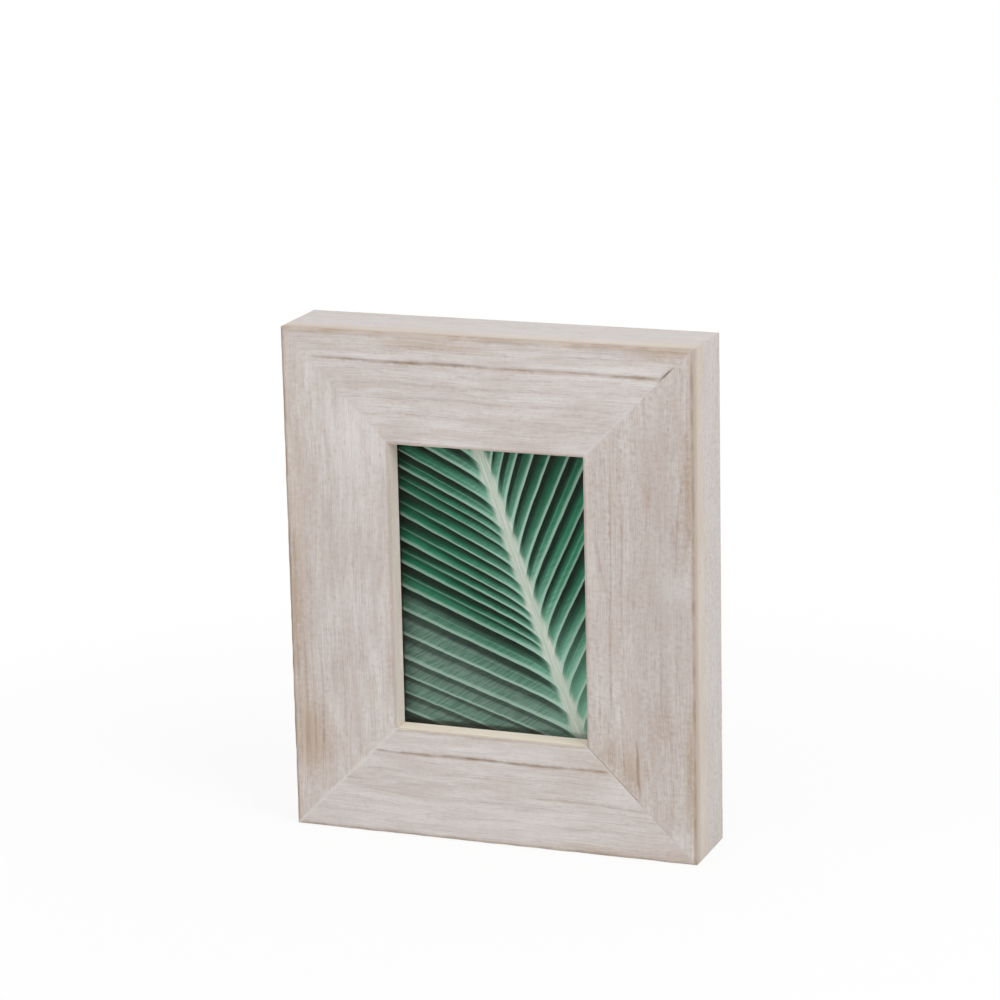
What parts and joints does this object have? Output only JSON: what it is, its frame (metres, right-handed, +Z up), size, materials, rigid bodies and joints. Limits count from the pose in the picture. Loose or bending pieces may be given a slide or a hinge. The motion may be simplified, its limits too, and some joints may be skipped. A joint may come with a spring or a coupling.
{
  "type": "picture frame",
  "caption": "Deep wooden picture frame, upright, with wide flat mitred rails in a whitewashed finish, a glazed print set well back, and turn buttons that hold its back board.",
  "frame": {"origin": "middle of the footprint, on the surface that the frame stands on", "axes": "+Z up along the stiles, -Y out of the face towards the viewer, +X to the viewer's right"},
  "size_m": [0.241, 0.0522, 0.292],
  "materials": {
    "limed_wood": "whitewashed open grain with sanded arrises, matt",
    "glass": "clear float glass with seamed edges",
    "print_paper": "satin photo paper printed in greens",
    "fibreboard": "bare brown medium density fibreboard",
    "plated_steel": "pressed sheet steel, nickel plated",
    "zinc_plate": "bright zinc plate"
  },
  "bodies": {
    "frame": {"left_stile": "limed_wood", "top_rail": "limed_wood", "right_stile": "limed_wood", "bottom_rail": "limed_wood", "glass_pane": "glass", "picture_print": "print_paper", "back_board": "fibreboard", "vnail_top_left_rim": "plated_steel", "vnail_top_left_ledge": "plated_steel", "vnail_top_right_rim": "plated_steel", "vnail_top_right_ledge": "plated_steel", "vnail_bottom_right_rim": "plated_steel", "vnail_bottom_right_ledge": "plated_steel", "vnail_bottom_left_rim": "plated_steel", "vnail_bottom_left_ledge": "plated_steel", "button_screw_left_upper": "zinc_plate", "button_screw_left_lower": "zinc_plate", "button_screw_top": "zinc_plate", "button_screw_right_upper": "zinc_plate", "button_screw_right_lower": "zinc_plate", "button_screw_bottom": "zinc_plate", "hanger_top": "plated_steel", "hanger_side": "plated_steel", "hanger_top_nail_1": "zinc_plate", "hanger_top_nail_2": "zinc_plate", "hanger_side_nail_1": "zinc_plate", "hanger_side_nail_2": "zinc_plate"},
    "button_left_upper": {"turn_button_left_upper": "plated_steel"},
    "button_left_lower": {"turn_button_left_lower": "plated_steel"},
    "button_top": {"turn_button_top": "plated_steel"},
    "button_right_upper": {"turn_button_right_upper": "plated_steel"},
    "button_right_lower": {"turn_button_right_lower": "plated_steel"},
    "button_bottom": {"turn_button_bottom": "plated_steel"}
  },
  "joints": [
    {"name": "button_left_upper_turn", "type": "hinge", "parent": "frame", "child": "button_left_upper", "pos_m": [-0.0735, -0.00615, 0.194], "axis": [0, 1, 0], "continuous": true},
    {"name": "button_left_lower_turn", "type": "hinge", "parent": "frame", "child": "button_left_lower", "pos_m": [-0.0735, -0.00615, 0.098], "axis": [0, 1, 0], "continuous": true},
    {"name": "button_top_turn", "type": "hinge", "parent": "frame", "child": "button_top", "pos_m": [0, -0.00615, 0.245], "axis": [0, 1, 0], "continuous": true},
    {"name": "button_right_upper_turn", "type": "hinge", "parent": "frame", "child": "button_right_upper", "pos_m": [0.0735, -0.00615, 0.194], "axis": [0, 1, 0], "continuous": true},
    {"name": "button_right_lower_turn", "type": "hinge", "parent": "frame", "child": "button_right_lower", "pos_m": [0.0735, -0.00615, 0.098], "axis": [0, 1, 0], "continuous": true},
    {"name": "button_bottom_turn", "type": "hinge", "parent": "frame", "child": "button_bottom", "pos_m": [0, -0.00615, 0.047], "axis": [0, 1, 0], "continuous": true}
  ]
}
